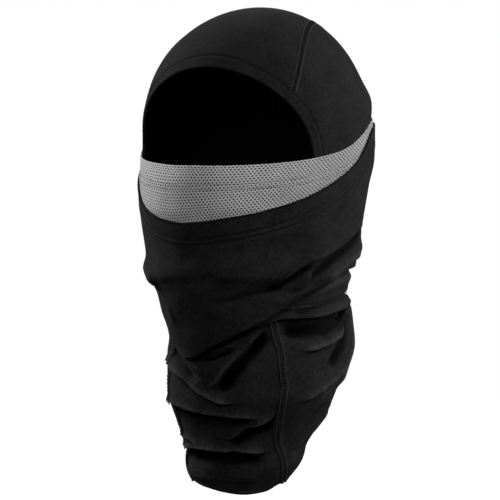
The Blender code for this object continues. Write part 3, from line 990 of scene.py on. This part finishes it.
# ---------------------------------------------------------------- mask
# Soft folds of the mask: route, width above, width below, height
MASK_RIDGES = (
    (((128, 178), (104, 192), (86, 205), (70, 213), (56, 222), (44, 229)), 3.0, 5.0, 2.0),
    (((120, 174), (107, 180.5), (97, 186), (87, 192.5), (79, 199), (70, 206), (64, 210)), 6.5, 2.4, -8.0),
    (((116, 183), (99, 192), (87, 200), (77, 207)), 2.0, 4.0, 1.8),
    (((70, 197), (63, 203), (56, 209.5), (50, 216), (38, 220.5)), 4.5, 2.0, -5.0),
    (((76, 194), (70, 201), (64, 209), (58, 216)), 2.2, 3.0, 1.8),
    (((44, 217), (33, 221), (20, 225), (4, 229)), 2.6, 3.0, -1.4),
    (((30, 184), (16, 195), (4, 207), (-8, 214)), 4.0, 3.5, -1.1),
    (((38, 190), (24, 200), (10, 212), (-6, 222)), 4.0, 4.0, 1.0),
    (((-90, 190), (-64, 196), (-50, 201), (-41, 207), (-36, 216)), 5.0, 3.0, 2.0),
    (((-70, 208), (-52, 211), (-42, 217), (-36, 226)), 4.0, 4.0, -1.3),
    (((-44, 210), (-36, 220), (-29, 230), (-25, 244)), 3.0, 4.0, 1.4),
    (((-14, 196), (2, 190), (20, 184)), 5.0, 5.0, -0.5),
    (((60, 168), (40, 176), (18, 184), (0, 189)), 4.0, 5.0, 0.6),
)

# Tucks of the mask: route, width above, lip, width below, depth
MASK_TUCKS = (
    (((120, 166), (105, 173), (92, 179), (77, 187.5), (68, 194), (58, 201), (50, 209)), 7.0, 1.6, 4.0, 0.8),
    (((-140, 172), (-118, 184), (-98, 195), (-80, 206)), 7.0, 2.0, 6.0, 4.5),
    (((150, 176), (165, 181), (182, 183), (200, 180)), 6.0, 1.2, 5.0, 2.5),
)


def folds(turn, depth, ridges, tucks, circle):
    """All folds of a piece. turn runs from -180 to 180, and a route may run on past 180."""
    value = np.zeros(np.broadcast(turn, depth).shape)
    for route, above, below, height in ridges:
        value += ridge(near_route(turn, route), depth, route, above, below, height, circle)
    for route, above, lip, below, deep in tucks:
        value += tuck(near_route(turn, route), depth, route, above, lip, below, deep, circle)
    return value


def near_route(turn, route):
    """The same turns, counted on from the middle of a route."""
    middle = 0.5 * (route[0][0] + route[-1][0])
    return wrap(turn - middle) + middle


def mask_relief(turn, depth):
    """Folds of the outer mask, deeper towards its lower edge."""
    turn = wrap(turn)
    value = folds(turn, depth, MASK_RIDGES, MASK_TUCKS, MASK_CIRCLE)
    low = edge(OUTER_LOW, turn)
    slack = np.clip((depth - 150.0) / 60.0, 0.0, 1.0)
    value += slack * 0.5 * soft_noise(turn, depth + turn * 0.4, 46.0, 5, 0.8)
    near_edge = np.exp(-(((low - depth) / 12.0) ** 2))
    return value * (1.0 - 0.35 * near_edge)


def sagged(points, normals, relief, out):
    """Points pushed out by relief and out, with each fold hanging down over the hollow below it."""
    fold = np.maximum(relief, 0.0)
    return points + normals * (out + relief)[..., None] - np.array([0.0, 0.0, SAG]) * fold[..., None]


def ring_piece(top, low, profile_top, out, surface, relief, columns, rows, curl=None):
    """A ring of cloth with a folded hem at its top. curl adds rows that turn in below its lower edge."""
    turn = ring(columns)[None, :]
    hem = profile_top[::-1]
    top_depth, low_depth = top(turn), low(turn)
    share = np.linspace(0.0, 1.0, rows)[1:, None]
    hem_down, hem_out = hem[:, :1], hem[:, 1:]
    deepest = hem_down[-1, 0]
    body_depth = top_depth + deepest + (low_depth - top_depth - deepest) * share
    depth = np.vstack([top_depth + hem_down, body_depth])
    lift = np.vstack([hem_out + 0.0 * turn, 0.0 * body_depth])
    if curl is not None:
        depth = np.vstack([depth, low_depth + curl[:, :1]])
        lift = np.vstack([lift, curl[:, 1:] + 0.0 * turn])
    full_turn = turn + 0.0 * depth
    points, normals = surface(full_turn, depth)
    stand_off = relief(full_turn, depth)
    points = sagged(points, normals, stand_off, out + lift)
    steps = np.linalg.norm(np.diff(points, axis=0), axis=-1).mean(axis=1)
    distance = np.concatenate([[0.0], np.cumsum(steps)])
    across = np.linspace(-180.0, 180.0, columns + 1)[None, :] * MASK_CIRCLE
    uv = np.stack([across * MM + 0.0 * distance[:, None], -distance[:, None] * MM + 0.0 * across], -1)
    return points, uv, stand_off


def blouse_curl(radius, inside):
    """Rows that turn under a lower edge: distance past the edge, and distance out."""
    bend = [(radius * math.sin(a), -radius + radius * math.cos(a)) for a in np.linspace(0.15, math.pi, 12)]
    back = [(-inside * k, -2.0 * radius) for k in np.linspace(0.15, 1.0, 6)]
    return np.array(bend + back)


def stitch_relief(line_depth, turn, depth, spread):
    """Grooves under the two rows of a coverstitch and the low ridge between them."""
    gap = depth - line_depth(turn)
    rows = groove(gap - spread / 2, 0.8, 0.65) + groove(gap + spread / 2, 0.8, 0.65)
    return rows + 0.25 * np.exp(-((gap / (spread * 0.3)) ** 2))


def liner_relief(turn, depth):
    """The liner's ripples where it shows. Below the outer mask's hem it follows the folds that press
    in on it."""
    line = stitch_relief(lambda t: edge(LINER_TOP, t) + LINER_HEM, turn, depth, TWIN_ROWS)
    shown = np.clip((edge(OUTER_TOP, turn) - depth) / 12.0, 0.0, 1.0)
    ripple = 0.3 * soft_noise(turn, depth, 55.0, 3, 0.7) * shown
    slack = LINER_SLACK * np.clip((depth - 156.0) / 12.0, 0.0, 1.0)
    pressed = (np.minimum(mask_relief(turn, depth), 0.0) - slack) * (1.0 - shown)
    return ripple + line * 0.6 + pressed


def painted_side_shade(turn):
    """How much painted shade the mesh gets: 0 at the mouth, 1 at the ears."""
    return np.clip((np.abs(turn) - 12.0) / 66.0, 0.0, 1.0)


def mesh_liner():
    profile = hem_profile(RING_HEM_START, LINER_HEM, LINER_CLOTH + 0.1)

    def top(turn):
        return edge(LINER_TOP, turn)

    def low(turn):
        return edge(OUTER_LOW, turn) - LINER_UNDER_MASK

    points, uv, _ = ring_piece(top, low, profile, LINER_OUT, mask_surface, liner_relief, 480, 70)
    # The Relief attribute here holds the painted side shade of the mesh, not a fold height.
    grey = painted_side_shade(ring(480)) + 0.0 * points[..., 0]
    piece = cloth("mesh_liner_cloth", points, uv, GREY_MESH, LINER_CLOTH, closed=True, relief=grey)
    pull_with_mask(piece, "grey_mesh", "mesh_liner", "liner_hem")
    turn = ring(900)
    line = raised(mask_surface, liner_relief, LINER_OUT)
    routes = lines_on(line, turn, top(turn) + LINER_HEM, TWIN)
    hem_stitching("liner_stitching", routes, GREY_THREAD, "grey_thread", closed=True, sunk=0.1)


def outer_relief(turn, depth):
    line = stitch_relief(lambda t: edge(OUTER_TOP, t) + OUTER_HEM, turn, depth, TWIN_ROWS)
    return mask_relief(turn, depth) + line


def outer_mask():
    profile = hem_profile(RING_HEM_START, OUTER_HEM, OUTER_CLOTH + 0.05)

    def top(turn):
        return edge(OUTER_TOP, turn)

    def low(turn):
        return edge(OUTER_LOW, turn)

    curl = blouse_curl(BLOUSE_ROUND, BLOUSE_INSIDE)
    points, uv, relief = ring_piece(
        top, low, profile, OUTER_OUT, mask_surface, outer_relief, 720, 190, curl=curl
    )
    # Its fold heights go to the knit as Relief, which paints shade in the hollows and a highlight on the
    # crests.
    piece = cloth(
        "outer_mask_cloth", points, uv, MASK_KNIT, OUTER_CLOTH, closed=True, relief=relief
    )
    pull_with_mask(piece, "mask_jersey", "outer_mask", "outer_hem")
    turn = ring(900)
    line = raised(mask_surface, outer_relief, OUTER_OUT)
    routes = lines_on(line, turn, top(turn) + OUTER_HEM, TWIN)
    look = {"closed": True, "sunk": HEM_SUNK}
    hem_stitching("outer_stitching", routes, BLACK_THREAD, "black_thread", **look)


# Folds of the bunched band below the mask, on both sides: route, width above, width below, height
BAND_FOLDS = (
    (((40, 231), (60, 221), (90, 212), (120, 207), (160, 205)), 3.5, 4.5, 2.4),
    (((50, 238), (70, 231), (95, 224), (125, 219), (165, 217)), 2.2, 2.6, -2.6),
    (((60, 240), (80, 235), (105, 228), (130, 224), (170, 222)), 2.8, 3.0, 1.6),
)

def band_relief(turn, depth):
    """Folds of the band. It is drawn in where the outer mask's edge and hollows press on it; as relief for
    the knit, the dip just below the edge also paints a shadow line there.
    """
    side = np.abs(wrap(turn))
    value = np.zeros(np.broadcast(turn, depth).shape)
    for route, above, below, height in BAND_FOLDS:
        value += ridge(side, depth, route, above, below, height, MASK_CIRCLE)
    covered = edge(OUTER_LOW, turn) - depth
    room = np.clip((mirrored_edge(BAND_LOW, turn) - edge(OUTER_LOW, turn)) / BAND_ROOM, 0.0, 1.0)
    # Painted shadow: this dip just below the mask's edge also darkens the band's colour there through the
    # knit material.
    value -= BAND_TUCK * room * np.exp(-((np.minimum(covered, 0.0) / BAND_TUCK) ** 2))
    return value + np.minimum(mask_relief(turn, depth), 0.0) * np.clip(covered / 4.0, 0.0, 1.0)


def lower_band():
    def top(turn):
        return edge(OUTER_LOW, turn) - BAND_UNDER_MASK

    def low(turn):
        return np.maximum(mirrored_edge(BAND_LOW, turn), top(turn) + BAND_LEAST)

    turn = ring(540)[None, :]
    depth, lift = lower_hem(top(turn), low(turn), 50, BAND_HEM)
    full_turn = turn + 0.0 * depth
    line = stitch_relief(lambda t: low(t) - BAND_STITCHES, full_turn, depth, TWIN_ROWS)
    base, normals = band_surface(full_turn, depth)
    relief = band_relief(full_turn, depth)
    points = base + normals * (lift + relief + line)[..., None]
    across = np.linspace(-180.0, 180.0, 541)[None, :] * MASK_CIRCLE
    down = np.linspace(0.0, 60.0, len(depth))[:, None]
    uv = np.stack([across * MM + 0.0 * down, -down * MM + 0.0 * across], -1)
    # Its fold heights go to the knit as Relief, which paints shade in the hollows and a highlight on the
    # crests.
    piece = cloth(
        "lower_band_cloth", points, uv, MASK_KNIT, OUTER_CLOTH, closed=True, relief=relief
    )
    pull_with_mask(piece, "mask_jersey", "lower_band")
    turn = ring(900)
    line = raised(band_surface, band_relief)
    routes = lines_on(line, turn, low(turn) - BAND_STITCHES, TWIN)
    look = {"closed": True, "sunk": HEM_SUNK}
    hem_stitching("lower_band_stitching", routes, BLACK_THREAD, "black_thread", **look)


# ---------------------------------------------------------------- neck drape
# Soft folds of the drape: route, width above, width below, height
NECK_RIDGES = (
    (((-44, 251), (-34, 256), (-26, 262), (-20, 270), (-14, 278), (-8, 285), (-3, 290)), 1.7, 1.7, 4.4),
    (((-30, 258), (-20, 266), (-14, 274), (-5, 284)), 1.6, 1.6, 4.0),
    (((-34, 257), (-23, 266), (-16, 274), (-9, 282), (-4, 287)), 1.5, 1.5, -5.0),
    (((-70, 254), (-54, 258), (-42, 264), (-31, 272), (-21, 281), (-12, 290)), 5.5, 3.5, -3.8),
    (((1, 291.5), (8, 289), (13, 284), (18, 276), (23, 267), (29, 258), (36, 249)), 4.5, 4.5, -6.0),
    (((3, 292.5), (10, 291), (16, 285)), 3.0, 3.5, -3.5),
    (((-14, 262.5), (0, 259), (14, 253), (24, 248)), 2.0, 2.0, -4.0),
    (((-14, 266.5), (0, 264), (10, 260), (18, 256)), 1.3, 1.3, 2.4),
    (((-13, 271), (-2, 270), (8, 266), (16, 261)), 2.0, 1.8, -4.6),
    (((-66, 356), (-30, 360), (5, 362), (40, 360)), 4.0, 4.0, 1.2),
    (((-58, 324), (-46, 328), (-35, 330), (-27, 334), (-20, 338)), 1.4, 1.8, 2.2),
    (((10, 317), (18, 318), (27, 318)), 3.0, 3.0, -2.6),
    (((108, 226), (106, 238), (103, 248), (98, 258), (92, 269), (85, 280)), 7.5, 8.5, -6.6),
    (((122, 214), (120, 236), (117, 254), (112, 272), (104, 294)), 4.5, 6.0, 3.4),
    (((100, 262), (84, 274), (70, 288)), 4.0, 4.0, -1.6),
    (((96, 300), (82, 314), (68, 328)), 4.0, 4.0, -1.6),
    (((40, 250), (56, 251), (75, 249), (92, 242), (108, 234)), 9.0, 4.5, -5.5),
    (((116, 228), (106, 239), (92, 249), (76, 256), (64, 260), (54, 263)), 1.6, 3.6, 4.2),
)

# Tucks of the drape: route, width above, lip, width below, depth
NECK_TUCKS = (
    (((-5, 294), (2, 288.5), (6.5, 281), (12, 273), (18, 266), (25, 256), (33, 244)), 3.5, 3.4, 5.5, 4.2),
    (
        ((-60, 267), (-50, 270), (-38, 276), (-26, 282), (-18, 288), (-9, 294.5), (2, 300), (16, 305)),
        2.4, 3.4, 8.0, 3.2,
    ),
    (
        ((-66, 299), (-46, 301.5), (-25, 306), (-5, 310), (10, 312), (25, 313.5), (34, 317)),
        4.0, 2.6, 15.0, 3.6,
    ),
    (((3, 333), (15, 327.5), (25, 322.6), (35, 318), (48, 313)), 3.0, 2.8, 10.5, 5.6),
    (((-62, 335), (-44, 336), (-22, 337.5), (0, 339), (20, 340), (44, 341)), 3.5, 2.8, 11.5, 6.2),
    (((108, 278), (100, 284), (86, 290), (72, 298), (62, 304)), 4.0, 2.4, 7.0, 2.2),
    (((104, 304), (97, 313), (86, 324), (76, 334), (67, 343)), 4.0, 1.8, 6.0, 2.2),
    (((-100, 262), (-86, 276), (-70, 290)), 6.0, 2.4, 8.0, 4.0),
    (((-104, 290), (-90, 306), (-74, 322)), 6.0, 2.2, 8.0, 3.6),
    (((140, 244), (160, 247), (180, 246), (200, 243)), 5.0, 1.4, 5.0, 1.8),
)


def seam_gap(turn, depth):
    """Distance from the nearer neck seam, in millimetres."""
    return (np.abs(wrap(turn)) - curve(NECK_SEAM, depth)[0]) * NECK_CIRCLE


def neck_relief(turn, depth):
    turn = wrap(turn)
    value = folds(turn, depth, NECK_RIDGES, NECK_TUCKS, NECK_CIRCLE)
    value += 0.5 * soft_noise(turn, depth + turn * 0.3, 60.0, 8, 0.7)
    gap = seam_gap(turn, depth)
    value *= 1.0 - 0.5 * np.exp(-((gap / 5.0) ** 2))
    value += 0.8 * np.exp(-((np.abs(gap) / 3.4) ** 6))
    beside = np.clip((np.abs(turn) - 58.0) / 8.0, 0.0, 1.0)
    hem = np.clip((depth - (BIB_LOW - HEM_FLAT)) / 10.0, 0.0, 1.0)
    slanted = beside * np.clip((depth - nape_low(turn % 360.0) + HEM_FLAT) / 10.0, 0.0, 1.0)
    return value * (1.0 - 0.5 * np.maximum(hem, slanted))


def bib_low(turn):
    """Depth of the bib's hem, a little lower on the wearer's left."""
    return BIB_LOW - curve(BIB_EDGE, turn)[0]


def nape_low(turn):
    return curve(NAPE_HEM, 180.0 - np.abs(180.0 - turn))[0]


def neck_points(turn, depth, out):
    points, normals = neck_surface(turn, depth)
    return sagged(points, normals, neck_relief(turn, depth), out)


def neck_line(turn, depth):
    return neck_points(turn, depth, 0.0), neck_surface(turn, depth)[1]


def lower_hem(top_depth, low_depth, rows, hem_width):
    """Depth and lift rows of a panel that ends in a folded hem."""
    hem = hem_profile(LOW_HEM_START, hem_width, HEM_ROUND)
    share = np.linspace(0.0, 1.0, rows)[:, None]
    body_depth = top_depth + (low_depth - LOW_HEM_START - top_depth) * share
    depth = np.vstack([body_depth, low_depth - hem[1:, :1]])
    lift = np.vstack([0.0 * body_depth, hem[1:, 1:] + 0.0 * low_depth])
    return depth, lift


def neck_front():
    columns, rows = 330, 230
    share = np.linspace(-1.0, 1.0, columns)[None, :]
    low_turn = share * CORNER
    top = np.full_like(low_turn, JOIN_DEPTH)
    depth, lift = lower_hem(top, bib_low(low_turn), rows, BIB_HEM)
    turn = share * curve(NECK_SEAM, depth)[0]
    stitch = groove(depth - (bib_low(low_turn) - BIB_HEM), 0.8, 0.5) * (lift > -0.01)
    points = neck_points(turn, depth, lift + stitch)
    uv, relief = cloth_uv(turn, depth, NECK_CIRCLE), neck_relief(turn, depth)
    # Its fold heights go to the knit as Relief, which paints shade in the hollows and a highlight on the
    # crests.
    piece = cloth("neck_front_cloth", points, uv, MASK_KNIT, OUTER_CLOTH, relief=relief)
    pull_with_mask(piece, "mask_jersey", "neck_front", "bib_hem")
    turn = np.linspace(-CORNER + BIB_END, CORNER - BIB_END, 300)
    routes = lines_on(neck_line, turn, bib_low(turn) - BIB_HEM, (0.0,))
    hem_stitching("bib_hem_stitching", routes, BLACK_THREAD, "black_thread", sunk=HEM_SUNK)


def back_turn(low_turn, depth):
    """The turn of a back panel's column at a depth: the column ends at low_turn on the slanted hem."""
    share = (180.0 - low_turn) / (180.0 - CORNER)
    return 180.0 - share * (180.0 - curve(NECK_SEAM, depth)[0])


def neck_back():
    columns, rows = 460, 150
    low_turn = np.linspace(CORNER, 360.0 - CORNER, columns)[None, :]
    top = np.minimum(JOIN_DEPTH, mirrored_edge(BAND_LOW, low_turn) - DRAPE_UNDER_BAND)
    depth, lift = lower_hem(top, nape_low(low_turn), rows, NAPE_HEM_WIDTH)
    turn = back_turn(low_turn, depth)
    covered = np.clip((mirrored_edge(BAND_LOW, turn) - depth) / DRAPE_UNDER_BAND, 0.0, 1.0)
    points = neck_points(turn, depth, lift - DRAPE_TUCK * covered)
    uv, relief = cloth_uv(turn, depth, NECK_CIRCLE), neck_relief(turn, depth)
    # Its fold heights go to the knit as Relief, which paints shade in the hollows and a highlight on the
    # crests.
    piece = cloth("neck_back_cloth", points, uv, MASK_KNIT, OUTER_CLOTH, relief=relief)
    pull_with_mask(piece, "mask_jersey", "neck_back", "nape_hem")
    low_turn = np.linspace(CORNER + NAPE_END, 360.0 - CORNER - NAPE_END, 500)
    slope = np.gradient(nape_low(low_turn), low_turn) / NECK_CIRCLE
    depth = nape_low(low_turn) - NAPE_HEM_WIDTH * np.minimum(NAPE_STEEPEST, np.hypot(1.0, slope))
    routes = lines_on(neck_line, back_turn(low_turn, depth), depth, (0.0,))
    hem_stitching("nape_hem_stitching", routes, BLACK_THREAD, "black_thread", sunk=HEM_SUNK)


def neck_seams():
    for name, hand in (("left", 1), ("right", -1)):
        depth = np.linspace(JOIN_DEPTH + 2.0, bib_low(hand * CORNER) - 1.0, 400)
        turn = hand * curve(NECK_SEAM, depth)[0]
        for piece in flat_seam(f"neck_seam_{name}", neck_line, turn, depth, FLAT_ROWS):
            pull_with_mask(piece, "black_thread", f"neck_seam_{name}")


# ---------------------------------------------------------------- scene
def floor():
    """A pale floor that throws no light on the cloth."""
    half, floor_z = FLOOR_HALF, TOP * MM - FLOOR_DROP
    mesh = bpy.data.meshes.new("floor")
    corners = [(-half, -half), (half, -half), (half, half), (-half, half)]
    mesh.from_pydata([(x, y, floor_z) for x, y in corners], [], [(0, 1, 2, 3)])
    n = Nodes("pale_paper")
    grain = n.noise(n.add("ShaderNodeTexCoord").outputs["Object"], 40.0)
    n.join(n.mix(grain, (0.86, 0.86, 0.86), (0.92, 0.92, 0.92)), n.shader.inputs["Base Color"])
    n.fix(Roughness=0.9, Emission_Color=(1.0, 1.0, 1.0, 1.0), Emission_Strength=1.0)
    plane = add_object("floor", mesh, n.material)
    plane.visible_diffuse = False
    plane.visible_glossy = False


def surround():
    """A surround that the camera sees as white, and that lights mostly from a little above level."""
    world = bpy.data.worlds.new("studio")
    world.use_nodes = True
    tree = world.node_tree
    background = tree.nodes["Background"]
    background.inputs["Color"].default_value = (1.0, 1.0, 1.0, 1.0)
    split = tree.nodes.new("ShaderNodeSeparateXYZ")
    tree.links.new(tree.nodes.new("ShaderNodeTexCoord").outputs["Generated"], split.inputs[0])
    shade = tree.nodes.new("ShaderNodeFloatCurve")
    points = shade.mapping.curves[0].points
    for place, value in WORLD_LIGHT[1:-1]:
        points.new(place, value)
    for point, (place, value) in zip(points, WORLD_LIGHT):
        point.location = (place, value)
    shade.mapping.update()
    height = tree.nodes.new("ShaderNodeMapRange")
    height.inputs["From Min"].default_value = -1.0
    tree.links.new(split.outputs["Z"], height.inputs["Value"])
    tree.links.new(height.outputs["Result"], shade.inputs["Value"])
    seen = tree.nodes.new("ShaderNodeMix")
    tree.links.new(tree.nodes.new("ShaderNodeLightPath").outputs["Is Camera Ray"], seen.inputs[0])
    tree.links.new(shade.outputs["Value"], seen.inputs[2])
    seen.inputs[3].default_value = 1.0
    tree.links.new(seen.outputs[0], background.inputs["Strength"])
    bpy.context.scene.world = world


def lamp(name, place, size, power):
    data = bpy.data.lights.new(name, "AREA")
    data.shape = "RECTANGLE"
    data.size, data.size_y = size
    data.energy = power
    light = bpy.data.objects.new(name, data)
    light.location = place
    light.rotation_euler = (Vector(LAMP_TARGET) - Vector(place)).to_track_quat("-Z", "Y").to_euler()
    bpy.context.scene.collection.objects.link(light)


def camera():
    """A level camera, a little to the wearer's left of straight ahead."""
    azimuth = math.radians(CAMERA_AZIMUTH)
    side = Vector((math.cos(azimuth), math.sin(azimuth), 0.0))
    ahead = Vector((math.sin(azimuth), -math.cos(azimuth), 0.0))
    target = Vector((0.0, 0.0, TOP - LOOK_DEPTH)) * MM - side * LOOK_SIDE * MM
    data = bpy.data.cameras.new("camera")
    data.clip_end = 40.0
    data.sensor_width = SENSOR
    data.lens = SENSOR * CAMERA_DISTANCE / FRAME_WIDTH
    camera = bpy.data.objects.new("camera", data)
    camera.location = target + ahead * CAMERA_DISTANCE
    camera.rotation_euler = (-ahead).to_track_quat("-Z", "Y").to_euler()
    bpy.context.scene.collection.objects.link(camera)
    bpy.context.scene.camera = camera


def main():
    bpy.context.scene.view_settings.view_transform = "Standard"
    camera()
    floor()
    surround()
    crown_panel()
    side_panel("side_panel_left", 1)
    side_panel("side_panel_right", -1)
    chin_panel()
    opening_hem()
    hood_stitching()
    care_label()
    mesh_liner()
    outer_mask()
    lower_band()
    neck_front()
    neck_back()
    neck_seams()
    for name, place, size, power in LAMPS:
        lamp(name, place, size, power)


main()
